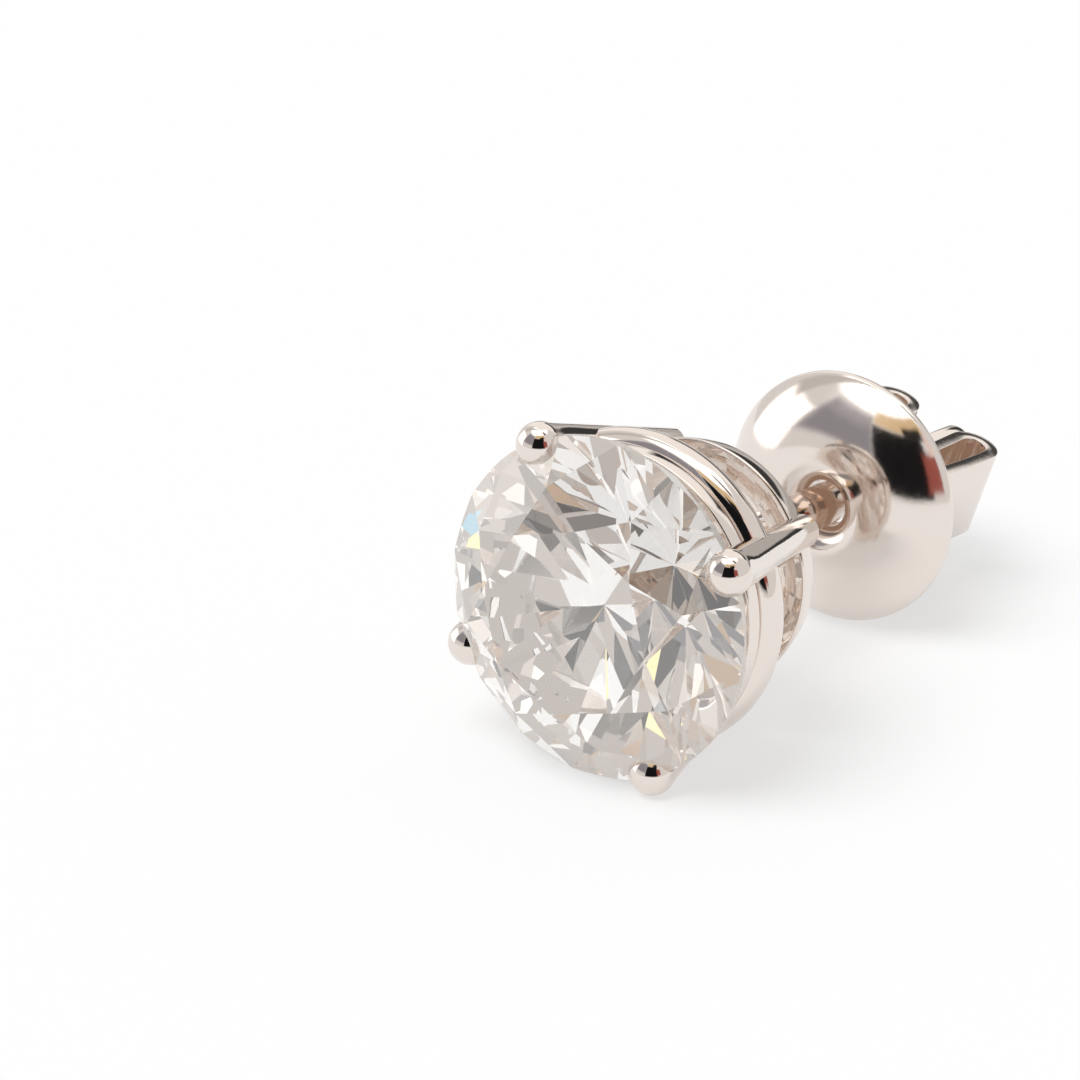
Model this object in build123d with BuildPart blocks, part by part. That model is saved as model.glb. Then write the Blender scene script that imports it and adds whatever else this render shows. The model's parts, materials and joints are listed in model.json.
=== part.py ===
"""A stud earring: a round brilliant in a four-prong basket, with its post and clip-on back."""
import os
from math import acos, asin, atan, atan2, cos, hypot, pi, radians, sin, tan

from build123d import *

os.makedirs("parts", exist_ok=True)

# Stone, in mm and degrees. Depths run backwards along the post from the girdle's front edge.
STONE_RADIUS = 3.25
GIRDLE_THICKNESS = 0.20
GIRDLE_SIDES = 32
TABLE_RATIO = 0.56
CROWN_SLOPE = radians(34.5)
PAVILION_SLOPE = radians(40.8)
STAR_LENGTH = 0.50
LOWER_HALF_LENGTH = 0.77
CULET_DEPTH = 3.00
FACET_MEETING_RADIUS = STONE_RADIUS + 0.02
STONE_TURN = radians(5.625)
SEAT_GAP = 0.025

# Basket: four tapered prongs with ball tips, joined by a round rail with a collar under the
# stone and by a square rail behind.
BALL_RING_RADIUS = 3.155
BALL_DEPTH = 0.06
BALL_RADIUS = 0.435
PRONG_RADIUS = 0.41
PRONG_END_WIRE = 0.32
PRONG_END_RADIUS = 2.24
FRONT_RAIL_RADIUS = 2.70
FRONT_RAIL_DEPTH = 1.50
FRONT_RAIL_WIRE = 0.36
COLLAR_INNER = 2.55
COLLAR_OUTER = 2.92
COLLAR_DEPTH = 0.72
REAR_RAIL_INNER = 1.90
REAR_RAIL_OUTER = 2.44
REAR_RAIL_DEPTH = 3.25
REAR_RAIL_TAPER = 0.236
BASKET_DEPTH = 3.80
BRIDGE_DEPTH = 3.30
BRIDGE_THICKNESS = 0.44
BRIDGE_WIDTH = 0.90
BRIDGE_LENGTH = 4.10

# Post, with a friction notch and a rounded end.
POST_RADIUS = 0.42
POST_ROOT_DEPTH = 3.45
POST_TIP_DEPTH = 13.00
POST_TIP_FILLET = 0.20
NOTCH_RADIUS = 0.34
NOTCH_DEPTH = 11.50
NOTCH_WIDTH = 0.65

# Back: a domed plate with a dimple round its hole.
PLATE_THICKNESS = 0.28
PLATE_RADIUS = 2.57
LIP_RADIUS = 0.95
LIP_DEPTH = 7.50
DOME_RADIUS = 1.947
DIMPLE_RADIUS = 0.45
DIMPLE_SLOPE = radians(45)
HOLE_RADIUS = 0.47
PLATE_SEAM_TURN = radians(185)

# Back: two sprung scrolls that grip the post.
STRIP_WIDTH = 1.85
STRIP_THICKNESS = 0.26
SCROLL_LINE_TURN = radians(106)
SCROLL_ROOT = (1.00, 7.70)
SCROLL_BELLY = (1.26, 9.80)
SCROLL_TURN_RADIUS = 0.39
SCROLL_TURN_DEPTH = 11.50
SCROLL_GRIP_RADIUS = 0.60
SCROLL_GRIP_DEPTH = 9.75
SCROLL_LIP_RADIUS = 0.20
SCROLL_LIP_SWEEP = 120

# The plate's rim is a half round about a mid line inside the sheet.
HALF_SHEET = PLATE_THICKNESS / 2
DOME_MID_RADIUS = DOME_RADIUS - HALF_SHEET
DOME_DEPTH = LIP_DEPTH + DOME_RADIUS
RIM_MID_RADIUS = PLATE_RADIUS - HALF_SHEET
DOME_SWEEP = asin((RIM_MID_RADIUS - LIP_RADIUS) / DOME_MID_RADIUS)
RIM_DEPTH = DOME_DEPTH - DOME_MID_RADIUS * cos(DOME_SWEEP)

# The stud lies on its girdle, the rim of the plate and one ball tip, so the post dips backwards.
girdle_flat = STONE_RADIUS * cos(pi / GIRDLE_SIDES)
rest_run = RIM_DEPTH - GIRDLE_THICKNESS
rest_drop = girdle_flat - RIM_MID_RADIUS
dip = atan2(rest_drop, rest_run) - asin(HALF_SHEET / hypot(rest_run, rest_drop))
axis_height = girdle_flat * cos(dip) + GIRDLE_THICKNESS * sin(dip)
ball_drop = axis_height - BALL_RADIUS - BALL_DEPTH * sin(dip)
ball_swing = acos(ball_drop / (BALL_RING_RADIUS * cos(dip)))
lower_prong = pi - ball_swing

crown_height = FACET_MEETING_RADIUS * tan(CROWN_SLOPE) * (1 - TABLE_RATIO)
table_radius = FACET_MEETING_RADIUS * TABLE_RATIO
front_reach = crown_height * cos(dip) + table_radius * cos(STONE_TURN) * sin(dip)
rear_reach = (POST_TIP_DEPTH - POST_TIP_FILLET) * cos(dip)
rear_reach += (POST_RADIUS - POST_TIP_FILLET) * sin(dip) + POST_TIP_FILLET

# The stud's own frame: x up, z backwards along the post, origin at the girdle's front edge.
stud = Plane(
    origin=(0, (front_reach - rear_reach) / 2, axis_height),
    x_dir=(0, sin(dip), cos(dip)),
    z_dir=(0, cos(dip), -sin(dip)),
)
post_axis = Axis(stud.origin, stud.z_dir)


def outward(turn):
    """Direction square to the post, turned from straight up."""
    return stud.x_dir * cos(turn) + stud.y_dir * sin(turn)


def spot(radius, turn, depth):
    """Point at a radius, turn and depth about the post's line."""
    return stud.origin + outward(turn) * radius + stud.z_dir * depth


def side_plane(turn):
    """Plane through the post's line: x outward, y backwards."""
    return Plane(origin=stud.origin, x_dir=outward(turn), z_dir=outward(turn).cross(stud.z_dir))


def facet_plane(turn, radius, depth, slope, side):
    """Plane of one facet; side is -1 for the crown and 1 for the pavilion."""
    normal = outward(turn) * sin(slope) + stud.z_dir * (side * cos(slope))
    return Plane(origin=spot(radius, turn, depth), z_dir=normal)


def brilliant_facets():
    """Planes of a round brilliant's facets, table and culet left out."""
    eighth = pi / 4
    half_step = eighth / 2
    quarter_step = eighth / 4
    reach = FACET_MEETING_RADIUS
    table_flat = table_radius * cos(half_step)

    star_radius = table_flat + STAR_LENGTH * (reach - table_flat)
    star_height = (reach - star_radius * cos(half_step)) * tan(CROWN_SLOPE)
    star_slope = atan((crown_height - star_height) / (star_radius - table_flat))
    upper_slope = atan(star_height / ((reach - star_radius) * cos(quarter_step)))

    lower_radius = (1 - LOWER_HALF_LENGTH) * reach
    lower_depth = (reach - lower_radius * cos(half_step)) * tan(PAVILION_SLOPE)
    lower_slope = atan(lower_depth / ((reach - lower_radius) * cos(quarter_step)))

    planes = []
    for step in range(8):
        turn = STONE_TURN + step * eighth
        planes.append(facet_plane(turn, reach, 0, CROWN_SLOPE, -1))
        planes.append(facet_plane(turn + half_step, table_flat, -crown_height, star_slope, -1))
        planes.append(facet_plane(turn, reach, GIRDLE_THICKNESS, PAVILION_SLOPE, 1))
        for half in (quarter_step, 3 * quarter_step):
            flat = reach * cos(quarter_step)
            planes.append(facet_plane(turn + half, flat, 0, upper_slope, -1))
            planes.append(facet_plane(turn + half, flat, GIRDLE_THICKNESS, lower_slope, 1))
    return planes


def brilliant(grow):
    """Round brilliant, larger all round by grow."""
    with BuildPart() as gem:
        with BuildSketch(stud.offset(-crown_height - grow)):
            RegularPolygon(
                radius=STONE_RADIUS + grow,
                side_count=GIRDLE_SIDES,
                rotation=180 / GIRDLE_SIDES,
            )
        extrude(amount=crown_height + CULET_DEPTH + 2 * grow)
        for plane in brilliant_facets():
            split(bisect_by=plane.offset(grow), keep=Keep.BOTTOM)
    return gem


def prong_plane(turn):
    """Plane across a prong at the middle of its ball tip, facing along the wire."""
    tip = spot(BALL_RING_RADIUS, turn, BALL_DEPTH)
    end = spot(PRONG_END_RADIUS, turn, BASKET_DEPTH)
    return Plane(origin=tip, z_dir=end - tip)


prong_length = hypot(BALL_RING_RADIUS - PRONG_END_RADIUS, BASKET_DEPTH - BALL_DEPTH)
prong_turns = [lower_prong + step * pi / 2 for step in range(4)]

# Points of the rear rail's outline, as radius and depth; it is filed flush with the prongs.
rail_reach = BASKET_DEPTH + PRONG_RADIUS
rear_rail = [
    (REAR_RAIL_INNER, REAR_RAIL_DEPTH),
    (REAR_RAIL_OUTER, REAR_RAIL_DEPTH),
    (REAR_RAIL_OUTER - (rail_reach - REAR_RAIL_DEPTH) * REAR_RAIL_TAPER, rail_reach),
    (REAR_RAIL_INNER, rail_reach),
]

stone = brilliant(0)
seat = brilliant(SEAT_GAP)

# Points of the post's outline, as radius and depth.
notch_start = (POST_RADIUS, NOTCH_DEPTH)
notch_neck = (NOTCH_RADIUS, NOTCH_DEPTH + NOTCH_WIDTH / 2)
notch_end = (POST_RADIUS, NOTCH_DEPTH + NOTCH_WIDTH)
tip_centre = (POST_RADIUS - POST_TIP_FILLET, POST_TIP_DEPTH - POST_TIP_FILLET)

with BuildPart() as basket_setting:
    # Prongs, each tapering backwards.
    for turn in prong_turns:
        with Locations(prong_plane(turn)):
            Cone(
                PRONG_RADIUS,
                PRONG_END_WIRE,
                prong_length,
                align=(Align.CENTER, Align.CENTER, Align.MIN),
            )
        with BuildSketch(prong_plane(turn).offset(prong_length - PRONG_RADIUS)):
            Circle(PRONG_END_WIRE)
        extrude(amount=2 * PRONG_RADIUS)
    # Rails: a round one with its collar and a square one.
    with Locations(stud.offset(FRONT_RAIL_DEPTH)):
        Torus(FRONT_RAIL_RADIUS, FRONT_RAIL_WIRE)
    with BuildSketch(stud.offset(COLLAR_DEPTH)):
        Circle(COLLAR_OUTER)
        Circle(COLLAR_INNER, mode=Mode.SUBTRACT)
    extrude(amount=FRONT_RAIL_DEPTH - COLLAR_DEPTH)
    with BuildSketch(side_plane(0)):
        with BuildLine():
            Polyline(*rear_rail, close=True)
        make_face()
    revolve(axis=post_axis)
    # Prongs and rear rail are filed flush behind.
    split(bisect_by=stud.offset(BASKET_DEPTH), keep=Keep.BOTTOM)
    for turn in prong_turns:
        with Locations(prong_plane(turn)):
            Sphere(BALL_RADIUS)
    # Crossed bridge that carries the post.
    with BuildSketch(stud.offset(BRIDGE_DEPTH)):
        for turn in prong_turns[:2]:
            Rectangle(BRIDGE_LENGTH, BRIDGE_WIDTH, rotation=turn * 180 / pi)
    extrude(amount=BRIDGE_THICKNESS)
    # Post, with its friction notch and rounded end.
    with BuildSketch(side_plane(0)):
        with BuildLine():
            Polyline((0, POST_ROOT_DEPTH), (POST_RADIUS, POST_ROOT_DEPTH), notch_start)
            ThreePointArc(notch_start, notch_neck, notch_end)
            Line(notch_end, (POST_RADIUS, POST_TIP_DEPTH - POST_TIP_FILLET))
            CenterArc(tip_centre, POST_TIP_FILLET, 0, 90)
            Line((POST_RADIUS - POST_TIP_FILLET, POST_TIP_DEPTH), (0, POST_TIP_DEPTH))
            Line((0, POST_TIP_DEPTH), (0, POST_ROOT_DEPTH))
        make_face()
    revolve(axis=post_axis)
    # Seat filed into the prongs for the stone.
    add(seat.part, mode=Mode.SUBTRACT)


def around(centre, radius, turn):
    """Point of the plate's section on a circle, turned outward from straight ahead."""
    return (centre[0] + radius * sin(turn), centre[1] - radius * cos(turn))


dome_centre = (LIP_RADIUS, DOME_DEPTH)
dimple_centre = (LIP_RADIUS, LIP_DEPTH + DIMPLE_RADIUS)
dome_inner = DOME_RADIUS - PLATE_THICKNESS
dimple_inner = DIMPLE_RADIUS - PLATE_THICKNESS
front_knee = around(dimple_centre, DIMPLE_RADIUS, -DIMPLE_SLOPE)
rear_knee = around(dimple_centre, dimple_inner, -DIMPLE_SLOPE)
front_hole = (HOLE_RADIUS, front_knee[1] + (front_knee[0] - HOLE_RADIUS) * tan(DIMPLE_SLOPE))
rear_hole = (HOLE_RADIUS, rear_knee[1] + (rear_knee[0] - HOLE_RADIUS) * tan(DIMPLE_SLOPE))
rim_centre = around(dome_centre, DOME_MID_RADIUS, DOME_SWEEP)
rim_front = around(dome_centre, DOME_RADIUS, DOME_SWEEP)
rim_outer = around(rim_centre, HALF_SHEET, DOME_SWEEP + pi / 2)
rim_rear = around(dome_centre, dome_inner, DOME_SWEEP)

with BuildPart() as earring_back:
    # Plate.
    with BuildSketch(side_plane(PLATE_SEAM_TURN)):
        with BuildLine():
            Line(front_hole, front_knee)
            ThreePointArc(
                front_knee,
                around(dimple_centre, DIMPLE_RADIUS, -DIMPLE_SLOPE / 2),
                around(dimple_centre, DIMPLE_RADIUS, 0),
            )
            ThreePointArc(
                around(dome_centre, DOME_RADIUS, 0),
                around(dome_centre, DOME_RADIUS, DOME_SWEEP / 2),
                rim_front,
            )
            ThreePointArc(rim_front, rim_outer, rim_rear)
            ThreePointArc(
                rim_rear,
                around(dome_centre, dome_inner, DOME_SWEEP / 2),
                around(dome_centre, dome_inner, 0),
            )
            ThreePointArc(
                around(dimple_centre, dimple_inner, 0),
                around(dimple_centre, dimple_inner, -DIMPLE_SLOPE / 2),
                rear_knee,
            )
            Line(rear_knee, rear_hole)
            Line(rear_hole, front_hole)
        make_face()
    revolve(axis=post_axis)
    # Scrolls, each a strip that runs back, turns in and grips the post.
    scroll_top = SCROLL_GRIP_RADIUS + SCROLL_TURN_RADIUS
    for turn in (SCROLL_LINE_TURN, SCROLL_LINE_TURN + pi):
        with BuildSketch(side_plane(turn)):
            with BuildLine():
                Spline(
                    SCROLL_ROOT,
                    SCROLL_BELLY,
                    (scroll_top + SCROLL_TURN_RADIUS, SCROLL_TURN_DEPTH),
                    tangents=((0.3, 1), (0, 1)),
                )
                CenterArc((scroll_top, SCROLL_TURN_DEPTH), SCROLL_TURN_RADIUS, 0, 180)
                Line(
                    (SCROLL_GRIP_RADIUS, SCROLL_TURN_DEPTH),
                    (SCROLL_GRIP_RADIUS, SCROLL_GRIP_DEPTH),
                )
                CenterArc(
                    (SCROLL_GRIP_RADIUS + SCROLL_LIP_RADIUS, SCROLL_GRIP_DEPTH),
                    SCROLL_LIP_RADIUS,
                    180,
                    SCROLL_LIP_SWEEP,
                )
            trace(line_width=STRIP_THICKNESS)
        extrude(amount=STRIP_WIDTH / 2, both=True)

for name, piece in (
    ("stone", stone),
    ("basket_setting", basket_setting),
    ("earring_back", earring_back),
):
    piece.part.label = name
    export_step(piece.part, f"parts/{name}.step")
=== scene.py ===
"""A four-prong stud earring: round brilliant, wire basket, notched post and domed clip-on back."""

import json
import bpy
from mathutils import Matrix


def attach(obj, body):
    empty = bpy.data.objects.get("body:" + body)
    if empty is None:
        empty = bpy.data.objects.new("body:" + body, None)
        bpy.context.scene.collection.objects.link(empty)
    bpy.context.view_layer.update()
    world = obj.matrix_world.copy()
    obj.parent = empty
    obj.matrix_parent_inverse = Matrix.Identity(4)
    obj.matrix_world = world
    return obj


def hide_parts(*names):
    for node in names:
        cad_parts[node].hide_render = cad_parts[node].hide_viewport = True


bl_info = {
    "name": "Solitaire Stud Earring",
    "version": (1, 0, 0),
    "blender": (4, 5, 0),
    "location": "3D View > Sidebar > Stud Earring",
    "description": "Builds a four-prong stud with a round brilliant stone and its clip-on back",
    "category": "Add Mesh",
}

from math import atan, cos, hypot, pi, radians, sin, sqrt, tan

import bmesh
import bpy
from mathutils import Matrix, Quaternion, Vector

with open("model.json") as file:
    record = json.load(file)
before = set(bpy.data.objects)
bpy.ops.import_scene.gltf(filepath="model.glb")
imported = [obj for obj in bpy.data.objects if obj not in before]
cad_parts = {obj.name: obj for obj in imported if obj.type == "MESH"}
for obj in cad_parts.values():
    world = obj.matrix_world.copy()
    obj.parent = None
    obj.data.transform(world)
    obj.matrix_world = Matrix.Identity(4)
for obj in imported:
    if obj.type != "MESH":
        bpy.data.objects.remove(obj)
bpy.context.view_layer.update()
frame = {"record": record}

MM = 0.001
POST_END_DEPTH = 12.475 * MM
DETAIL_ROUND = 64
DETAIL_RING = 192


# Placement -----------------------------------------------------------------------------------


def stud_matrix():
    """Turns a part drawn round Z, x up and z backwards, in millimetres, onto the post's line."""
    mount = next(m for m in frame["record"]["mounts"] if m["name"] == "post_end")
    back = Vector(mount["axis"]).normalized()
    side = back.cross(Vector((0, 0, 1))).normalized()
    up = side.cross(back)
    turn = Matrix((up, side, back)).transposed().to_4x4()
    start = Vector(mount["pos_m"]) - back * POST_END_DEPTH
    return Matrix.Translation(start) @ turn @ Matrix.Scale(MM, 4)


def outward(turn):
    """Direction square to the post, turned from straight up."""
    return Vector((cos(turn), sin(turn), 0))


def finish_piece(name, bm, body, node, materials):
    """Writes a bmesh drawn in the stud's frame as an object of the frame."""
    bmesh.ops.transform(bm, matrix=stud_matrix(), verts=bm.verts)
    bmesh.ops.recalc_face_normals(bm, faces=bm.faces)
    mesh = bpy.data.meshes.new(name)
    bm.to_mesh(mesh)
    bm.free()
    piece = bpy.data.objects.new(name, mesh)
    bpy.context.scene.collection.objects.link(piece)
    for material in materials:
        mesh.materials.append(material)
    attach(piece, body)
    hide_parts(node)
    return piece


# Stone ---------------------------------------------------------------------------------------


def facet(turn, radius, depth, slope, side):
    """Point and outward direction of one facet; side is -1 for the crown, 1 for the pavilion."""
    out = outward(turn)
    return out * radius + Vector((0, 0, depth)), out * sin(slope) + Vector((0, 0, side * cos(slope)))


def brilliant_facets(cut):
    """Facets of a round brilliant from the table to the culet."""
    eighth = pi / 4
    reach = cut.radius / MM
    girdle = cut.girdle / MM
    crown = reach * (1 - cut.table) * tan(cut.crown_slope)
    table_flat = reach * cut.table * cos(eighth / 2)

    star_radius = table_flat + cut.star * (reach - table_flat)
    star_height = (reach - star_radius * cos(eighth / 2)) * tan(cut.crown_slope)
    star_slope = atan((crown - star_height) / (star_radius - table_flat))
    upper_slope = atan(star_height / ((reach - star_radius) * cos(eighth / 4)))

    lower_radius = (1 - cut.lower) * reach
    lower_depth = (reach - lower_radius * cos(eighth / 2)) * tan(cut.pavilion_slope)
    lower_slope = atan(lower_depth / ((reach - lower_radius) * cos(eighth / 4)))

    facets = [(Vector((0, 0, -crown)), Vector((0, 0, -1)))]
    for step in range(8):
        turn = cut.turn + step * eighth
        facets.append(facet(turn, reach, 0, cut.crown_slope, -1))
        facets.append(facet(turn + eighth / 2, table_flat, -crown, star_slope, -1))
        facets.append(facet(turn, reach, girdle, cut.pavilion_slope, 1))
        for half in (eighth / 4, 3 * eighth / 4):
            flat = reach * cos(eighth / 4)
            facets.append(facet(turn + half, flat, 0, upper_slope, -1))
            facets.append(facet(turn + half, flat, girdle, lower_slope, 1))
    culet = girdle + (reach - cut.culet / MM) * tan(cut.pavilion_slope)
    facets.append((Vector((0, 0, culet)), Vector((0, 0, 1))))
    return facets


def draw_brilliant(cut, grow):
    """Bmesh of the stone, larger all round by grow millimetres."""
    bm = bmesh.new()
    depth = 2 * cut.radius / MM
    bmesh.ops.create_cone(
        bm,
        cap_ends=True,
        segments=cut.girdle_sides,
        radius1=cut.radius / MM - GIRDLE_EASE + grow,
        radius2=cut.radius / MM - GIRDLE_EASE + grow,
        depth=2 * depth,
        matrix=Matrix.Rotation(pi / cut.girdle_sides + cut.turn, 4, "Z"),
    )
    for point, direction in brilliant_facets(cut):
        whole = bm.verts[:] + bm.edges[:] + bm.faces[:]
        sliced = bmesh.ops.bisect_plane(
            bm,
            geom=whole,
            dist=1e-6,
            plane_co=point + direction * grow,
            plane_no=direction,
            clear_outer=True,
        )
        rim = [item for item in sliced["geom_cut"] if isinstance(item, bmesh.types.BMEdge)]
        bmesh.ops.holes_fill(bm, edges=rim)
    bmesh.ops.remove_doubles(bm, verts=bm.verts, dist=1e-4)
    return bm


GIRDLE_EASE = 0.01


class StoneCut(bpy.types.PropertyGroup):
    radius: bpy.props.FloatProperty(
        name="Radius", description="Radius of the girdle", default=3.25 * MM, subtype="DISTANCE"
    )
    girdle: bpy.props.FloatProperty(
        name="Girdle", description="Thickness of the girdle", default=0.16 * MM, subtype="DISTANCE"
    )
    girdle_sides: bpy.props.IntProperty(
        name="Girdle Flats", description="Flats polished round the girdle", default=96
    )
    table: bpy.props.FloatProperty(
        name="Table", description="Width of the table over the girdle's", default=0.56, subtype="FACTOR"
    )
    crown_slope: bpy.props.FloatProperty(
        name="Crown", description="Slope of the crown's kites", default=radians(34.5), subtype="ANGLE"
    )
    pavilion_slope: bpy.props.FloatProperty(
        name="Pavilion", description="Slope of the pavilion's mains", default=radians(40.8), subtype="ANGLE"
    )
    star: bpy.props.FloatProperty(
        name="Stars", description="Length of the star facets", default=0.50, subtype="FACTOR"
    )
    lower: bpy.props.FloatProperty(
        name="Lower Halves", description="Length of the lower halves", default=0.77, subtype="FACTOR"
    )
    culet: bpy.props.FloatProperty(
        name="Culet", description="Radius of the culet", default=0.02 * MM, subtype="DISTANCE"
    )
    turn: bpy.props.FloatProperty(
        name="Turn", description="Turn of the first kite from straight up", default=radians(5.625),
        subtype="ANGLE",
    )


class STUD_OT_stone(bpy.types.Operator):
    """Cut the round brilliant"""

    bl_idname = "stud.stone"
    bl_label = "Stone"

    def execute(self, context):
        bm = draw_brilliant(context.scene.stud_stone, 0)
        for face in bm.faces:
            face.smooth = False
            face.material_index = 1 if abs(face.normal.z) < 0.1 else 0
        finish_piece(
            "brilliant", bm, "stud", "stone", (brilliant_material(), girdle_material())
        )
        return {"FINISHED"}


# Metal ---------------------------------------------------------------------------------------


class MetalSizes(bpy.types.PropertyGroup):
    ball_ring: bpy.props.FloatProperty(
        name="Ball Ring", description="Distance of the ball tips from the post's line",
        default=3.155 * MM, subtype="DISTANCE",
    )
    ball_depth: bpy.props.FloatProperty(
        name="Ball Depth", description="Depth of the ball tips behind the girdle's front edge",
        default=0.06 * MM, subtype="DISTANCE",
    )
    ball: bpy.props.FloatProperty(
        name="Ball", description="Radius of the ball tips", default=0.435 * MM, subtype="DISTANCE"
    )
    prong: bpy.props.FloatProperty(
        name="Prong", description="Radius of the prongs at the balls", default=0.41 * MM,
        subtype="DISTANCE",
    )
    prong_taper: bpy.props.FloatProperty(
        name="Prong Tail", description="Radius of the prongs at the rear", default=0.32 * MM,
        subtype="DISTANCE",
    )
    prong_end: bpy.props.FloatProperty(
        name="Prong End", description="Distance of the prongs' rear ends from the post's line",
        default=2.24 * MM, subtype="DISTANCE",
    )
    basket: bpy.props.FloatProperty(
        name="Basket Depth", description="Depth of the basket's rear", default=3.80 * MM, subtype="DISTANCE"
    )
    lower_prong: bpy.props.FloatProperty(
        name="Lower Prong", description="Turn of the lowest prong from straight up",
        default=radians(152.925), subtype="ANGLE",
    )
    post: bpy.props.FloatProperty(
        name="Post", description="Radius of the post", default=0.42 * MM, subtype="DISTANCE"
    )
    post_tip: bpy.props.FloatProperty(
        name="Post Tip", description="Depth of the post's tip", default=13.00 * MM, subtype="DISTANCE"
    )
    plate: bpy.props.FloatProperty(
        name="Plate", description="Radius of the back's plate", default=2.57 * MM, subtype="DISTANCE"
    )
    sheet: bpy.props.FloatProperty(
        name="Sheet", description="Thickness of the back's plate", default=0.28 * MM, subtype="DISTANCE"
    )
    strip: bpy.props.FloatProperty(
        name="Strip", description="Thickness of the back's scrolls", default=0.26 * MM, subtype="DISTANCE"
    )
    strip_width: bpy.props.FloatProperty(
        name="Strip Width", description="Width of the back's scrolls", default=1.85 * MM, subtype="DISTANCE"
    )


# Rails, in millimetres. The front one is round with a collar under the stone, the rear one square.
FRONT_RAIL = (2.70, 1.50)
FRONT_RAIL_WIRE = 0.36
COLLAR_INNER = 2.55
COLLAR_OUTER = 2.92
COLLAR_DEPTH = 0.72
REAR_RAIL_INNER = 1.90
REAR_RAIL_OUTER = 2.44
REAR_RAIL_DEPTH = 3.25
REAR_RAIL_TAPER = 0.236
RAIL_EASE = 0.05
COLLAR_REAR = 1.06
# Part of the round rail, in radians, left joined to the collar.
RAIL_NECK = 0.5
BRIDGE_DEPTH = 3.30
BRIDGE_THICKNESS = 0.44
BRIDGE_WIDTH = 0.90
BRIDGE_LENGTH = 4.10
SEAT_GAP = 0.02


def arc(centre, radius, start, sweep, steps):
    """Points round an arc in a side view; angles run from outward towards backward."""
    angles = [start + sweep * step / steps for step in range(steps + 1)]
    return [(centre[0] + radius * cos(a), centre[1] + radius * sin(a)) for a in angles]


def spin_profile(bm, points, steps, matrix=Matrix.Identity(4)):
    """Turns a side view of (radius, depth) points round Z into a closed skin."""
    verts = [bm.verts.new(matrix @ Vector((r, 0, z))) for r, z in points]
    edges = [bm.edges.new(pair) for pair in zip(verts, verts[1:])]
    axis = (matrix.to_3x3() @ Vector((0, 0, 1))).normalized()
    bmesh.ops.spin(
        bm,
        geom=verts + edges,
        cent=matrix.translation,
        axis=axis,
        angle=2 * pi,
        steps=steps,
        use_merge=True,
    )


def close_skin(bm):
    """Merges doubled points and closes poles."""
    bmesh.ops.remove_doubles(bm, verts=bm.verts, dist=1e-5)
    bmesh.ops.dissolve_degenerate(bm, edges=bm.edges, dist=1e-6)


def prong_matrix(sizes, turn):
    """Places a prong drawn along Z with its ball at the origin."""
    tip = outward(turn) * (sizes.ball_ring / MM) + Vector((0, 0, sizes.ball_depth / MM))
    end = outward(turn) * (sizes.prong_end / MM) + Vector((0, 0, sizes.basket / MM))
    return Matrix.Translation(tip) @ (end - tip).to_track_quat("Z", "X").to_matrix().to_4x4()


def cut_with(piece, bm):
    """Takes the solid in bm, drawn in the stud's frame, out of a piece."""
    bmesh.ops.transform(bm, matrix=stud_matrix(), verts=bm.verts)
    bmesh.ops.recalc_face_normals(bm, faces=bm.faces)
    mesh = bpy.data.meshes.new("cutter")
    bm.to_mesh(mesh)
    bm.free()
    cutter = bpy.data.objects.new("cutter", mesh)
    bpy.context.scene.collection.objects.link(cutter)
    modifier = piece.modifiers.new("seat", "BOOLEAN")
    modifier.object = cutter
    modifier.operation = "DIFFERENCE"
    modifier.solver = "EXACT"
    depsgraph = bpy.context.evaluated_depsgraph_get()
    cut = bpy.data.meshes.new_from_object(piece.evaluated_get(depsgraph))
    piece.modifiers.clear()
    old = piece.data
    piece.data = cut
    bpy.data.meshes.remove(old)
    bpy.data.objects.remove(cutter)
    bpy.data.meshes.remove(mesh)


def smooth_rounds(piece, limit=radians(35)):
    """Smooth shading over rounds, crisp edges at corners."""
    for polygon in piece.data.polygons:
        polygon.use_smooth = True
    piece.data.set_sharp_from_angle(angle=limit)


class STUD_OT_prongs(bpy.types.Operator):
    """Draw the ball-tipped prong wires and file their seats"""

    bl_idname = "stud.prongs"
    bl_label = "Prongs"

    def execute(self, context):
        sizes = context.scene.stud_metal
        ball = sizes.ball / MM
        wire = sizes.prong / MM
        length = hypot(sizes.ball_ring - sizes.prong_end, sizes.basket - sizes.ball_depth) / MM
        neck = sqrt(ball * ball - wire * wire)
        bevel = 0.05
        profile = arc((0, 0), ball, -pi / 2, pi / 2 + 0.3 * atan(neck / wire), 20)
        tail = sizes.prong_taper / MM
        profile += [(0.3 * ball + 0.7 * wire, 1.2 * neck), (wire - 0.005, 2.6 * neck)]
        profile += [(wire - 0.013, 4 * neck), (tail, length - bevel)]
        profile += arc((tail - bevel, length - bevel), bevel, 0, pi / 2, 4)
        profile.append((0, length))
        bm = bmesh.new()
        for step in range(4):
            turn = sizes.lower_prong + step * pi / 2
            spin_profile(bm, profile, DETAIL_ROUND, prong_matrix(sizes, turn))
        close_skin(bm)
        piece = finish_piece("prongs", bm, "stud", "basket_setting", (gold_material(),))
        cut_with(piece, draw_brilliant(context.scene.stud_stone, SEAT_GAP))
        smooth_rounds(piece)
        return {"FINISHED"}


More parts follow.
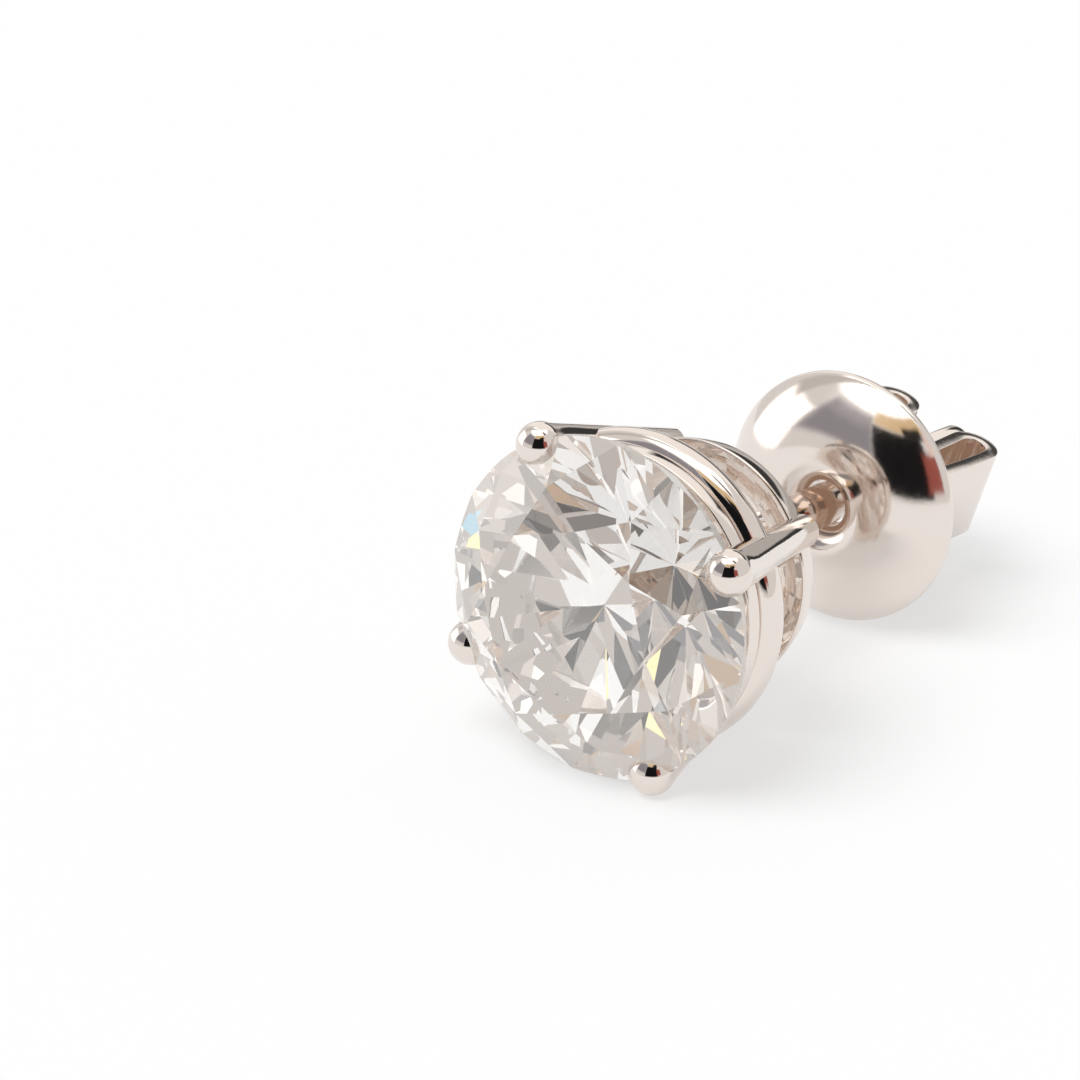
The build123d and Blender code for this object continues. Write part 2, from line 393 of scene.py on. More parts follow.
class STUD_OT_rails(bpy.types.Operator):
    """Draw the round rail with its collar and the square rail"""

    bl_idname = "stud.rails"
    bl_label = "Rails"

    def execute(self, context):
        sizes = context.scene.stud_metal
        rear = sizes.basket / MM
        tail = REAR_RAIL_OUTER - (rear - REAR_RAIL_DEPTH) * REAR_RAIL_TAPER
        ease = RAIL_EASE
        bm = bmesh.new()
        front = arc((COLLAR_OUTER - ease, COLLAR_DEPTH + ease), ease, -pi / 2, pi / 2, 5)
        front.insert(0, (COLLAR_INNER, COLLAR_DEPTH))
        front += arc((COLLAR_OUTER - ease, COLLAR_REAR - ease), ease, 0, pi / 2, 5)
        front.append((FRONT_RAIL[0], COLLAR_REAR + 0.01))
        front += arc(FRONT_RAIL, FRONT_RAIL_WIRE, -pi / 2, 2 * pi - RAIL_NECK, 44)
        front += [(COLLAR_INNER, COLLAR_REAR), front[0]]
        spin_profile(bm, front, DETAIL_RING)
        corners = (
            (REAR_RAIL_INNER + ease, REAR_RAIL_DEPTH + ease, -pi),
            (REAR_RAIL_OUTER - ease, REAR_RAIL_DEPTH + ease, -pi / 2),
            (tail - ease, rear - ease, 0),
            (REAR_RAIL_INNER + ease, rear - ease, pi / 2),
        )
        square = []
        for r, z, start in corners:
            square += arc((r, z), ease, start, pi / 2, 5)
        spin_profile(bm, square + square[:1], DETAIL_RING)
        close_skin(bm)
        piece = finish_piece("rails", bm, "stud", "basket_setting", (gold_material(),))
        cut_with(piece, draw_brilliant(context.scene.stud_stone, SEAT_GAP))
        smooth_rounds(piece)
        return {"FINISHED"}


class STUD_OT_bridge(bpy.types.Operator):
    """Lay the crossed bars that carry the post"""

    bl_idname = "stud.bridge"
    bl_label = "Bridge"

    def execute(self, context):
        sizes = context.scene.stud_metal
        bars = bmesh.new()
        for step in range(2):
            size = Matrix.Diagonal((BRIDGE_LENGTH, BRIDGE_WIDTH, BRIDGE_THICKNESS, 1))
            place = Matrix.Rotation(sizes.lower_prong + step * pi / 2, 4, "Z")
            lift = Matrix.Translation((0, 0, BRIDGE_DEPTH + BRIDGE_THICKNESS / 2))
            bmesh.ops.create_cube(bars, size=1, matrix=place @ lift @ size)
        bmesh.ops.bevel(
            bars, geom=bars.edges[:], offset=0.06, offset_type="OFFSET", segments=3,
            profile=0.5, affect="EDGES", material=-1,
        )
        piece = finish_piece("bridge", bars, "stud", "basket_setting", (gold_material(),))
        smooth_rounds(piece)
        return {"FINISHED"}


NOTCH_DEPTH = 11.50
NOTCH_WIDTH = 0.65
NOTCH_RADIUS = 0.34


class STUD_OT_post(bpy.types.Operator):
    """Turn the post with its friction notch"""

    bl_idname = "stud.post"
    bl_label = "Post"

    def execute(self, context):
        sizes = context.scene.stud_metal
        r = sizes.post / MM
        tip = sizes.post_tip / MM
        ease = 0.20
        start = BRIDGE_DEPTH + 0.1
        rear = BRIDGE_DEPTH + BRIDGE_THICKNESS
        profile = [(0, start), (r + 0.10, start), (r + 0.10, rear)]
        profile += [(r + 0.03, rear + 0.04), (r, rear + 0.14)]
        sag = r - NOTCH_RADIUS
        half = NOTCH_WIDTH / 2
        floor = (half * half + sag * sag) / (2 * sag)
        swing = atan(half / (floor - sag))
        profile += arc((NOTCH_RADIUS + floor, NOTCH_DEPTH + half), floor, pi + swing, -2 * swing, 16)
        profile.append((r, tip - ease))
        profile += arc((r - ease, tip - ease), ease, 0, pi / 2, 10)
        profile.append((0, tip))
        bm = bmesh.new()
        spin_profile(bm, profile, DETAIL_ROUND)
        close_skin(bm)
        piece = finish_piece("post", bm, "stud", "basket_setting", (gold_material(),))
        smooth_rounds(piece)
        return {"FINISHED"}


# Back ----------------------------------------------------------------------------------------

LIP_RADIUS = 0.95
LIP_DEPTH = 7.50
DOME_RADIUS = 1.947
DIMPLE_RADIUS = 0.45
HOLE_RADIUS = 0.47


class STUD_OT_plate(bpy.types.Operator):
    """Press the domed plate with its dimple"""

    bl_idname = "stud.plate"
    bl_label = "Plate"

    def execute(self, context):
        sizes = context.scene.stud_metal
        sheet = sizes.sheet / MM
        half = sheet / 2
        dome = (LIP_RADIUS, LIP_DEPTH + DOME_RADIUS)
        dimple = (LIP_RADIUS, LIP_DEPTH + DIMPLE_RADIUS)
        mid = DOME_RADIUS - half
        lean = (sizes.plate / MM - half - LIP_RADIUS) / mid
        sweep = atan(lean / sqrt(1 - lean * lean))
        # Angles run from outward towards backward, so straight ahead is minus a quarter turn.
        ahead = -pi / 2
        front = arc(dimple, DIMPLE_RADIUS, ahead - pi / 4, pi / 4, 12)
        front += arc(dome, DOME_RADIUS, ahead, sweep, 28)[1:]
        rim_centre = (dome[0] + mid * cos(ahead + sweep), dome[1] + mid * sin(ahead + sweep))
        rim = arc(rim_centre, half, ahead + sweep, pi, 12)[1:]
        rear = arc(dome, DOME_RADIUS - sheet, ahead + sweep, -sweep, 28)[1:]
        rear += arc(dimple, DIMPLE_RADIUS - sheet, ahead, -pi / 4, 8)[1:]
        hole_front = (HOLE_RADIUS, front[0][1] + front[0][0] - HOLE_RADIUS)
        hole_rear = (HOLE_RADIUS, rear[-1][1] + rear[-1][0] - HOLE_RADIUS)
        ease = 0.04
        lead_in = [
            (HOLE_RADIUS, hole_front[1] + 2 * ease),
            (HOLE_RADIUS + 0.3 * ease, hole_front[1] + 0.6 * ease),
            (HOLE_RADIUS + ease, hole_front[1] - ease),
        ]
        profile = lead_in + front + rim + rear + [hole_rear, lead_in[0]]
        bm = bmesh.new()
        spin_profile(bm, profile, DETAIL_RING)
        close_skin(bm)
        piece = finish_piece("plate", bm, "back", "earring_back", (sheet_material(),))
        smooth_rounds(piece, radians(40))
        return {"FINISHED"}


SCROLL_LINE_TURN = radians(106)
SCROLL_ROOT = (1.00, 7.70)
SCROLL_BEND_DEPTH = 10.49
SCROLL_TURN_RADIUS = 0.39
SCROLL_TURN_DEPTH = 11.50
SCROLL_GRIP_RADIUS = 0.60
SCROLL_GRIP_DEPTH = 9.75
SCROLL_LIP_RADIUS = 0.20


def scroll_line():
    """Middle line of a scroll in a side view, from the plate to its free lip."""
    top = (SCROLL_GRIP_RADIUS + 2 * SCROLL_TURN_RADIUS, SCROLL_TURN_DEPTH)
    leg = []
    for step in range(16):
        t = step / 16
        a = (1 - t) ** 2
        b = 2 * t * (1 - t)
        c = t * t
        leg.append(tuple(a * p + b * q + c * s for p, q, s in zip(SCROLL_ROOT, (top[0], SCROLL_BEND_DEPTH), top)))
    turn = arc((SCROLL_GRIP_RADIUS + SCROLL_TURN_RADIUS, SCROLL_TURN_DEPTH), SCROLL_TURN_RADIUS, 0, pi, 20)
    grip_step = (SCROLL_TURN_DEPTH - SCROLL_GRIP_DEPTH) / 5
    grip = [(SCROLL_GRIP_RADIUS, SCROLL_TURN_DEPTH - k * grip_step) for k in range(1, 5)]
    lip = arc(
        (SCROLL_GRIP_RADIUS + SCROLL_LIP_RADIUS, SCROLL_GRIP_DEPTH), SCROLL_LIP_RADIUS, pi, 2 * pi / 3, 12
    )
    return leg + turn + grip + lip


class STUD_OT_scrolls(bpy.types.Operator):
    """Roll the two scrolls that grip the post"""

    bl_idname = "stud.scrolls"
    bl_label = "Scrolls"

    def execute(self, context):
        sizes = context.scene.stud_metal
        half = sizes.strip_width / MM / 2
        bm = bmesh.new()
        for step in range(2):
            turn = SCROLL_LINE_TURN + step * pi
            out = outward(turn)
            across = out.cross(Vector((0, 0, 1)))
            start = [out * r + Vector((0, 0, z)) - across * half for r, z in scroll_line()]
            verts = [bm.verts.new(point) for point in start]
            edges = [bm.edges.new(pair) for pair in zip(verts, verts[1:])]
            strip = bmesh.ops.extrude_edge_only(bm, edges=edges)["geom"]
            moved = [item for item in strip if isinstance(item, bmesh.types.BMVert)]
            bmesh.ops.translate(bm, verts=moved, vec=across * (2 * half))
        piece = finish_piece("scrolls", bm, "back", "earring_back", (sheet_material(),))
        wall = piece.modifiers.new("wall", "SOLIDIFY")
        wall.thickness = sizes.strip
        wall.offset = 0
        wall.use_even_offset = True
        edge = piece.modifiers.new("edge", "BEVEL")
        edge.width = 0.05 * MM
        edge.segments = 3
        edge.limit_method = "ANGLE"
        edge.angle_limit = radians(50)
        for polygon in piece.data.polygons:
            polygon.use_smooth = True
        return {"FINISHED"}


# Materials -----------------------------------------------------------------------------------


class FinishSettings(bpy.types.PropertyGroup):
    gold: bpy.props.FloatVectorProperty(
        name="White Gold", description="Colour of the polished metal", default=(0.80, 0.73, 0.68),
        subtype="COLOR", min=0, max=1,
    )
    # Colour of the painted glow standing in for light bounced long between the metal's faces.
    gold_painted_glow: bpy.props.FloatVectorProperty(
        name="Metal Painted Glow", description="Light from deep between the metal's faces",
        default=(0.34, 0.29, 0.26), subtype="COLOR", min=0, max=1,
    )
    stone: bpy.props.FloatVectorProperty(
        name="Stone", description="Colour of the stone", default=(1.0, 0.985, 0.965), subtype="COLOR",
        min=0, max=1,
    )
    # Colour of the painted glow standing in for light bounced long inside the stone.
    stone_painted_glow: bpy.props.FloatVectorProperty(
        name="Stone Painted Glow", description="Light from deep inside the stone", default=(0.245, 0.22, 0.20),
        subtype="COLOR", min=0, max=1,
    )
    stone_index: bpy.props.FloatProperty(
        name="Refraction", description="Index of refraction of the stone", default=2.417
    )


def new_material(name):
    """Empty node material with its Principled shader and output."""
    material = bpy.data.materials.new(name)
    material.use_nodes = True
    return material, material.node_tree.nodes, material.node_tree.links


def polish_group():
    """Shared finish of polished metal: faint waves, fine hairlines and slightly uneven gloss."""
    name = "hand polish"
    if name in bpy.data.node_groups:
        return bpy.data.node_groups[name]
    group = bpy.data.node_groups.new(name, "ShaderNodeTree")
    for label, low, high, default in (
        ("Gloss Low", 0, 1, 0.02),
        ("Gloss High", 0, 1, 0.08),
        ("Wave Scale", 0, 1e5, 900.0),
        ("Hairline Scale", 0, 1e6, 9000.0),
    ):
        socket = group.interface.new_socket(label, in_out="INPUT", socket_type="NodeSocketFloat")
        socket.default_value = default
        socket.min_value = low
        socket.max_value = high
    for label in ("Roughness", "Height"):
        group.interface.new_socket(label, in_out="OUTPUT", socket_type="NodeSocketFloat")
    nodes, links = group.nodes, group.links
    inputs = nodes.new("NodeGroupInput")
    outputs = nodes.new("NodeGroupOutput")
    place = nodes.new("ShaderNodeTexCoord")
    wave = nodes.new("ShaderNodeTexNoise")
    wave.inputs["Detail"].default_value = 2.0
    hair = nodes.new("ShaderNodeTexNoise")
    hair.inputs["Detail"].default_value = 3.0
    links.new(place.outputs["Object"], wave.inputs["Vector"])
    links.new(place.outputs["Object"], hair.inputs["Vector"])
    links.new(inputs.outputs["Wave Scale"], wave.inputs["Scale"])
    links.new(inputs.outputs["Hairline Scale"], hair.inputs["Scale"])
    gloss = nodes.new("ShaderNodeMapRange")
    links.new(hair.outputs["Fac"], gloss.inputs["Value"])
    links.new(inputs.outputs["Gloss Low"], gloss.inputs["To Min"])
    links.new(inputs.outputs["Gloss High"], gloss.inputs["To Max"])
    gloss.inputs["From Min"].default_value = 0.35
    gloss.inputs["From Max"].default_value = 0.75
    height = nodes.new("ShaderNodeMath")
    height.operation = "MULTIPLY_ADD"
    height.inputs[1].default_value = 0.12
    links.new(hair.outputs["Fac"], height.inputs[0])
    links.new(wave.outputs["Fac"], height.inputs[2])
    links.new(gloss.outputs["Result"], outputs.inputs["Roughness"])
    links.new(height.outputs["Value"], outputs.inputs["Height"])
    return group


# Glossy bounces after which the painted glow is added.
LONG_PATH = 4


def painted_deep_glow(nodes, links, shader, colour):
    """Painted glow: past a few bounces between polished faces, the surface glows in one even colour, standing in
    for light that bounced on.
    """
    path = nodes.new("ShaderNodeLightPath")
    deep = nodes.new("ShaderNodeMath")
    deep.operation = "GREATER_THAN"
    deep.inputs[1].default_value = LONG_PATH - 0.5
    glow = nodes.new("ShaderNodeMix")
    glow.data_type = "RGBA"
    glow.inputs[6].default_value = (0, 0, 0, 1)
    glow.inputs[7].default_value = (*colour, 1)
    links.new(path.outputs["Glossy Depth"], deep.inputs[0])
    links.new(deep.outputs["Value"], glow.inputs["Factor"])
    links.new(glow.outputs[2], shader.inputs["Emission Color"])
    shader.inputs["Emission Strength"].default_value = 1.0


def metal(name, waves, gloss_low, gloss_high):
    """Polished white gold."""
    if name in bpy.data.materials:
        return bpy.data.materials[name]
    material, nodes, links = new_material(name)
    shader = nodes["Principled BSDF"]
    shader.inputs["Metallic"].default_value = 1.0
    shader.inputs["Base Color"].default_value = (*bpy.context.scene.stud_finish.gold, 1)
    polish = nodes.new("ShaderNodeGroup")
    polish.node_tree = polish_group()
    polish.inputs["Gloss Low"].default_value = gloss_low
    polish.inputs["Gloss High"].default_value = gloss_high
    polish.inputs["Wave Scale"].default_value = 500.0
    bump = nodes.new("ShaderNodeBump")
    bump.inputs["Distance"].default_value = waves
    bump.inputs["Strength"].default_value = 1.0
    # Painted glow: an even colour standing in for light bounced long between the metal's faces.
    painted_deep_glow(nodes, links, shader, bpy.context.scene.stud_finish.gold_painted_glow)
    links.new(polish.outputs["Height"], bump.inputs["Height"])
    links.new(polish.outputs["Roughness"], shader.inputs["Roughness"])
    links.new(bump.outputs["Normal"], shader.inputs["Normal"])
    return material


def gold_material():
    """White gold of the wires and the post."""
    return metal("white gold wire", 0.006 * MM, 0.01, 0.06)


def sheet_material():
    """White gold of the pressed back."""
    return metal("white gold sheet", 0.006 * MM, 0.09, 0.13)




def brilliant_material():
    """Clear polished stone; a painted warm-grey glow stands in for light that has bounced long inside it."""
    material, nodes, links = new_material("brilliant")
    shader = nodes["Principled BSDF"]
    settings = bpy.context.scene.stud_finish
    shader.inputs["Base Color"].default_value = (*settings.stone, 1)
    shader.inputs["Roughness"].default_value = 0.0
    shader.inputs["IOR"].default_value = settings.stone_index
    shader.inputs["Transmission Weight"].default_value = 1.0
    # Painted glow: an even warm grey standing in for light bounced long inside the stone.
    painted_deep_glow(nodes, links, shader, settings.stone_painted_glow)
    return material


def girdle_material():
    """Fine satin girdle of the stone."""
    material, nodes, links = new_material("brilliant girdle")
    shader = nodes["Principled BSDF"]
    settings = bpy.context.scene.stud_finish
    shader.inputs["Base Color"].default_value = (*settings.stone, 1)
    shader.inputs["Roughness"].default_value = 0.3
    shader.inputs["IOR"].default_value = settings.stone_index
    shader.inputs["Transmission Weight"].default_value = 1.0
    return material


# Stage ---------------------------------------------------------------------------------------


class StageSettings(bpy.types.PropertyGroup):
    floor: bpy.props.FloatVectorProperty(
        name="Floor", description="Colour of the pale floor", default=(0.97, 0.97, 0.97),
        subtype="COLOR", min=0, max=1,
    )
    floor_white: bpy.props.FloatProperty(
        name="Floor White", description="Share of the floor that the camera sees as plain white",
        default=0.55, subtype="FACTOR",
    )
    sky: bpy.props.FloatProperty(
        name="Sky", description="Strength of the even light all round", default=0.52
    )
    sun: bpy.props.FloatProperty(
        name="Key", description="Strength of the soft key light", default=1.78
    )
    room: bpy.props.FloatProperty(
        name="Room", description="Radius of the glowing room", default=0.2, subtype="DISTANCE"
    )
    lens: bpy.props.FloatProperty(
        name="Lens", description="Focal length over a 36 mm frame", default=3500 / 1080 * 36
    )


# The camera stands in front of the stone and to its right, in the stud's frame.
CAMERA_SPOT = Vector((23.2237, 33.79, -48.5682))
CAMERA_FORWARD = Vector((-0.34760, -0.549, 0.76031))
CAMERA_UP = Vector((0.93700, -0.241, 0.25450))

# Painted reflections of the lights and dark things round the stud: patches of glow and dark on a
# dome that only its polish and its stone see. Each row: middle bearing and height, half width and
# half height, all in degrees, then softness in degrees and the light it gives. Bearings run from
# straight behind the stud (0) to its right side (90).
ROOM_LIGHT = (0.80, 0.79, 0.78)
LIGHTS = (
    ("overhead", 0, 90, 400, 31, 8, (1.70, 1.70, 1.68)),
    ("ceiling shade", 84, 68, 12, 9, 6, (0.26, 0.24, 0.23)),
    ("rear wall", -21, 50, 44, 33, 6, (1.08, 1.05, 1.02)),
    ("rear band", -5, 23, 22, 6, 5, (0.05, 0.05, 0.05)),
    ("low wall", -10, 8, 34, 7, 4, (0.50, 0.48, 0.46)),
    ("rear edge", -8, 1.5, 30, 3.2, 2, (0.05, 0.05, 0.05)),
    ("left window", -106, 16, 22, 19, 5, (1.80, 1.74, 1.71)),
    ("left wall", -90, 60, 10, 30, 6, (0.62, 0.60, 0.58)),
    ("cool side", -156, 36, 26, 20, 10, (0.31, 0.30, 0.33)),
    ("gold card", 140, 57, 38, 7, 5, (0.78, 0.58, 0.34)),
    ("dark card", 148, 26, 31, 23, 4, (0.010, 0.010, 0.011)),
    ("dark card top", 126, 50, 14, 5, 4, (0.02, 0.02, 0.02)),
    ("red card", 113, 21, 9, 14, 6, (0.36, 0.10, 0.08)),
    ("painted pink reflection", 106, 42, 5, 9, 3, (0.90, 0.72, 0.66)),
)

# What the stone's facets send back: painted reflections of the same room, with its dark patches painted lighter,
# and small coloured patches painted as the stone's fire.
STONE_ROOM_LIGHT = (0.56, 0.51, 0.47)
STONE_LIGHTS = (
    ("overhead", 0, 90, 400, 25, 8, (0.84, 0.78, 0.72)),
    ("rear wall", -21, 50, 44, 30, 6, (0.76, 0.70, 0.64)),
    ("rear band", -10, 2, 32, 12, 6, (0.16, 0.145, 0.13)),
    ("left window", -106, 16, 22, 19, 5, (1.12, 1.05, 0.98)),
    ("left wall", -88, 58, 12, 26, 6, (0.38, 0.34, 0.31)),
    ("high window", -112, 68, 12, 10, 5, (1.25, 1.10, 1.03)),
    ("cool side", -156, 36, 16, 14, 6, (0.19, 0.19, 0.205)),
    ("tan card", 160, 58, 14, 6, 4, (0.52, 0.38, 0.26)),
    ("dark card", 166, 24, 9, 13, 4, (0.04, 0.04, 0.04)),
    ("grey card", 143, 20, 13, 14, 3, (0.20, 0.185, 0.17)),
    ("lamp side", 104, 30, 10, 14, 4, (0.98, 0.91, 0.85)),
    # Painted pink sheen on some of the facets.
    ("painted pink reflection", 72, 31, 13, 8, 4, (1.02, 0.81, 0.77)),
    ("dark board", 88, 12, 9, 9, 3, (0.01, 0.01, 0.01)),
    # Painted fire: small coloured patches that the facets send back as flashes of colour.
    ("painted blue fire", 124, 48, 6, 4, 2, (0.42, 0.78, 1.00)),
    ("painted yellow fire", 150, 38, 8, 3, 2, (1.25, 1.15, 0.62)),
    ("painted orange fire", 131, 55, 3, 2.5, 2, (1.05, 0.58, 0.36)),
    ("painted tan glint", 137, 9, 5, 3, 2, (0.60, 0.43, 0.29)),
    ("painted tan glint side", -163, 7, 5, 4, 2, (0.60, 0.43, 0.29)),
)


def look_along(direction):
    """Turn of a lamp that points along a direction with no roll."""
    return direction.normalized().to_track_quat("-Z", "Y")


def camera_matrix():
    """Where the camera stands and looks, in metres."""
    side = CAMERA_FORWARD.cross(CAMERA_UP).normalized()
    up = side.cross(CAMERA_FORWARD).normalized()
    turn = Matrix((side, up, -CAMERA_FORWARD.normalized())).transposed()
    place = stud_matrix()
    matrix = (place.to_3x3().normalized() @ turn).to_4x4()
    matrix.translation = place @ CAMERA_SPOT
    return matrix


def patch_group():
    """Lays one soft-edged patch of light over what lies under it."""
    name = "light patch"
    if name in bpy.data.node_groups:
        return bpy.data.node_groups[name]
    group = bpy.data.node_groups.new(name, "ShaderNodeTree")
    face = group.interface
    face.new_socket("Under", in_out="INPUT", socket_type="NodeSocketColor")
    for label in ("Bearing", "Height", "Middle Bearing", "Middle Height", "Half Width", "Half Height"):
        face.new_socket(label, in_out="INPUT", socket_type="NodeSocketFloat")
    face.new_socket("Softness", in_out="INPUT", socket_type="NodeSocketFloat")
    face.new_socket("Light", in_out="INPUT", socket_type="NodeSocketColor")
    face.new_socket("Room", in_out="OUTPUT", socket_type="NodeSocketColor")
    nodes, links = group.nodes, group.links
    inputs = nodes.new("NodeGroupInput")
    outputs = nodes.new("NodeGroupOutput")

    def math(operation, first, second=None):
        node = nodes.new("ShaderNodeMath")
        node.operation = operation
        links.new(first, node.inputs[0])
        if second is not None:
            links.new(second, node.inputs[1])
        return node.outputs["Value"]

    reaches = []
    for along, middle, half in (
        ("Bearing", "Middle Bearing", "Half Width"),
        ("Height", "Middle Height", "Half Height"),
    ):
        apart = math("SUBTRACT", inputs.outputs[along], inputs.outputs[middle])
        away = math("ABSOLUTE", apart)
        reaches.append(math("SUBTRACT", away, inputs.outputs[half]))
    outside = math("MAXIMUM", *reaches)
    spread = math("DIVIDE", outside, inputs.outputs["Softness"])
    mask = nodes.new("ShaderNodeMapRange")
    mask.interpolation_type = "SMOOTHSTEP"
    mask.inputs["From Min"].default_value = 0.5
    mask.inputs["From Max"].default_value = -0.5
    links.new(spread, mask.inputs["Value"])
    mix = nodes.new("ShaderNodeMix")
    mix.data_type = "RGBA"
    links.new(mask.outputs["Result"], mix.inputs["Factor"])
    links.new(inputs.outputs["Under"], mix.inputs[6])
    links.new(inputs.outputs["Light"], mix.inputs[7])
    links.new(mix.outputs[2], outputs.inputs["Room"])
    return group


def lay_lights(nodes, links, angles, room, lights):
    """Chains the patches of a room over its even light; returns the chain's last colour."""
    under = None
    for name, at, up, wide, tall, soft, light in lights:
        patch = nodes.new("ShaderNodeGroup")
        patch.node_tree = patch_group()
        patch.label = name
        links.new(angles[0], patch.inputs["Bearing"])
        links.new(angles[1], patch.inputs["Height"])
        patch.inputs["Middle Bearing"].default_value = at
        patch.inputs["Middle Height"].default_value = up
        patch.inputs["Half Width"].default_value = wide
        patch.inputs["Half Height"].default_value = tall
        patch.inputs["Softness"].default_value = soft
        patch.inputs["Light"].default_value = (*light, 1)
        if under is None:
            patch.inputs["Under"].default_value = (*room, 1)
        else:
            links.new(under, patch.inputs["Under"])
        under = patch.outputs["Room"]
    return under


def room_material():
    """Glow of the room round the stud, as its polish and its stone see it."""
    material, nodes, links = new_material("room")
    nodes.remove(nodes["Principled BSDF"])
    place = nodes.new("ShaderNodeTexCoord")
    aim = nodes.new("ShaderNodeVectorMath")
    aim.operation = "NORMALIZE"
    split = nodes.new("ShaderNodeSeparateXYZ")
    links.new(place.outputs["Object"], aim.inputs[0])
    links.new(aim.outputs["Vector"], split.inputs["Vector"])
    angles = []
    for operation, outputs in (("ARCTAN2", ("X", "Y")), ("ARCSINE", ("Z",))):
        angle = nodes.new("ShaderNodeMath")
        angle.operation = operation
        for index, output in enumerate(outputs):
            links.new(split.outputs[output], angle.inputs[index])
        degrees = nodes.new("ShaderNodeMath")
        degrees.operation = "DEGREES"
        links.new(angle.outputs["Value"], degrees.inputs[0])
        angles.append(degrees.outputs["Value"])
    glows = []
    for room, lights in ((ROOM_LIGHT, LIGHTS), (STONE_ROOM_LIGHT, STONE_LIGHTS)):
        glow = nodes.new("ShaderNodeEmission")
        links.new(lay_lights(nodes, links, angles, room, lights), glow.inputs["Color"])
        glows.append(glow.outputs["Emission"])
    path = nodes.new("ShaderNodeLightPath")
    choose = nodes.new("ShaderNodeMixShader")
    links.new(path.outputs["Is Transmission Ray"], choose.inputs["Fac"])
    links.new(glows[0], choose.inputs[1])
    links.new(glows[1], choose.inputs[2])
    links.new(choose.outputs["Shader"], nodes["Material Output"].inputs["Surface"])
    return material


def draw_room(stage):
    """Dome round the stud that only its polish and its stone see."""
    bm = bmesh.new()
    bmesh.ops.create_uvsphere(bm, u_segments=64, v_segments=32, radius=stage.room)
    whole = bm.verts[:] + bm.edges[:] + bm.faces[:]
    bmesh.ops.bisect_plane(
        bm, geom=whole, plane_co=(0, 0, -stage.room * 0.02), plane_no=(0, 0, -1), clear_outer=True
    )
    bmesh.ops.reverse_faces(bm, faces=bm.faces)
    mesh = bpy.data.meshes.new("room")
    bm.to_mesh(mesh)
    bm.free()
    room = bpy.data.objects.new("room", mesh)
    bpy.context.scene.collection.objects.link(room)
    room.visible_camera = False
    room.visible_shadow = False
    room.visible_diffuse = False
    mesh.materials.append(room_material())


def floor_material(stage):
    """Pale floor that keeps the shadow; the camera and the polish see part of it as plain white."""
    material, nodes, links = new_material("floor")
    shader = nodes["Principled BSDF"]
    shader.inputs["Base Color"].default_value = (*stage.floor, 1)
    shader.inputs["Roughness"].default_value = 1.0
    shader.inputs["Specular IOR Level"].default_value = 0.0
    white = nodes.new("ShaderNodeEmission")
    path = nodes.new("ShaderNodeLightPath")
    seen = path.outputs["Is Camera Ray"]
    for ray in ("Is Glossy Ray", "Is Transmission Ray"):
        add = nodes.new("ShaderNodeMath")
        add.use_clamp = True
        links.new(seen, add.inputs[0])
        links.new(path.outputs[ray], add.inputs[1])
        seen = add.outputs["Value"]
    share = nodes.new("ShaderNodeMath")
    share.operation = "MULTIPLY"
    share.inputs[1].default_value = stage.floor_white
    choose = nodes.new("ShaderNodeMixShader")
    links.new(seen, share.inputs[0])
    links.new(share.outputs["Value"], choose.inputs["Fac"])
    links.new(shader.outputs["BSDF"], choose.inputs[1])
    links.new(white.outputs["Emission"], choose.inputs[2])
    links.new(choose.outputs["Shader"], nodes["Material Output"].inputs["Surface"])
    return material


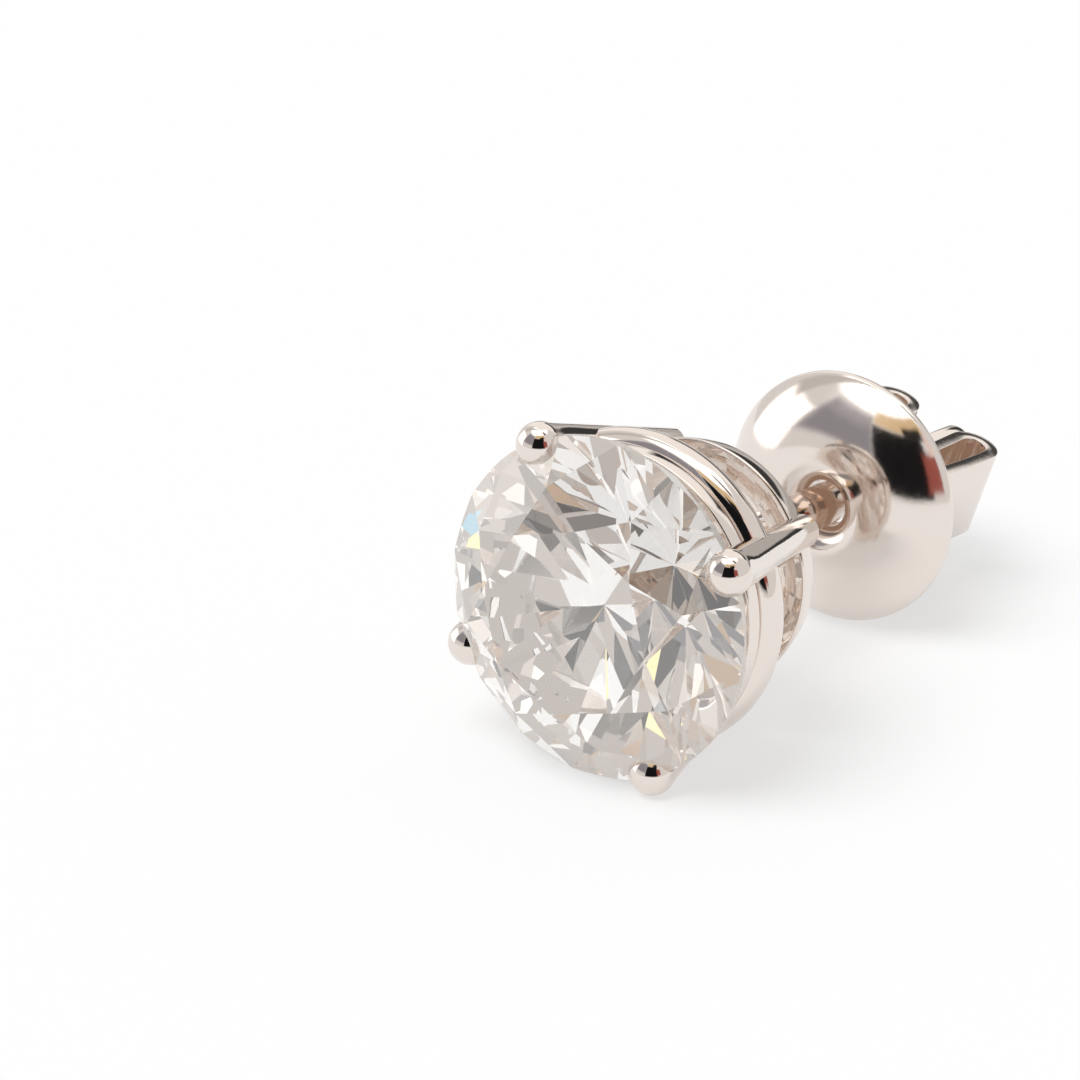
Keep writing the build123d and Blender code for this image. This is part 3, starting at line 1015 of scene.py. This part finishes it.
class STUD_OT_stage(bpy.types.Operator):
    """Set the floor, light and camera"""

    bl_idname = "stud.stage"
    bl_label = "Stage"

    def execute(self, context):
        scene = context.scene
        stage = scene.stud_stage
        scene.view_settings.view_transform = "Standard"

        bm = bmesh.new()
        bmesh.ops.create_grid(bm, x_segments=1, y_segments=1, size=0.5)
        mesh = bpy.data.meshes.new("floor")
        bm.to_mesh(mesh)
        bm.free()
        floor = bpy.data.objects.new("floor", mesh)
        scene.collection.objects.link(floor)
        mesh.materials.append(floor_material(stage))

        world = bpy.data.worlds.new("studio")
        scene.world = world
        world.use_nodes = True
        sky = world.node_tree.nodes["Background"]
        sky.inputs["Color"].default_value = (1, 1, 1, 1)
        sky.inputs["Strength"].default_value = stage.sky

        lamp = bpy.data.lights.new("key", "SUN")
        lamp.energy = stage.sun
        lamp.angle = radians(40)
        key = bpy.data.objects.new("key", lamp)
        key.rotation_mode = "QUATERNION"
        key.rotation_quaternion = look_along(Vector((0.35, 0.80, -1.7)))
        scene.collection.objects.link(key)

        draw_room(stage)

        camera = bpy.data.objects.new("camera", bpy.data.cameras.new("camera"))
        camera.data.lens = stage.lens
        camera.data.sensor_width = 36
        camera.data.clip_start = 0.001
        camera.matrix_world = camera_matrix()
        scene.collection.objects.link(camera)
        scene.camera = camera
        return {"FINISHED"}


# Registration --------------------------------------------------------------------------------

OPERATORS = (
    STUD_OT_stone,
    STUD_OT_prongs,
    STUD_OT_rails,
    STUD_OT_bridge,
    STUD_OT_post,
    STUD_OT_plate,
    STUD_OT_scrolls,
    STUD_OT_stage,
)


class STUD_PT_panel(bpy.types.Panel):
    """Lists the stud's pieces and settings"""

    bl_idname = "STUD_PT_panel"
    bl_label = "Stud Earring"
    bl_space_type = "VIEW_3D"
    bl_region_type = "UI"
    bl_category = "Stud Earring"

    def draw(self, context):
        for operator in OPERATORS:
            self.layout.operator(operator.bl_idname)
        for name in SETTINGS:
            box = self.layout.box()
            settings = getattr(context.scene, name)
            for key in settings.__annotations__:
                box.prop(settings, key)


SETTINGS = {
    "stud_stone": StoneCut,
    "stud_metal": MetalSizes,
    "stud_finish": FinishSettings,
    "stud_stage": StageSettings,
}
CLASSES = (*SETTINGS.values(), *OPERATORS, STUD_PT_panel)


def register():
    for cls in CLASSES:
        bpy.utils.register_class(cls)
    for name, group in SETTINGS.items():
        setattr(bpy.types.Scene, name, bpy.props.PointerProperty(type=group))


def unregister():
    for name in SETTINGS:
        delattr(bpy.types.Scene, name)
    for cls in reversed(CLASSES):
        bpy.utils.unregister_class(cls)


def main():
    register()
    for operator in OPERATORS:
        family, verb = operator.bl_idname.split(".")
        getattr(getattr(bpy.ops, family), verb)()


if __name__ == "__main__":
    main()
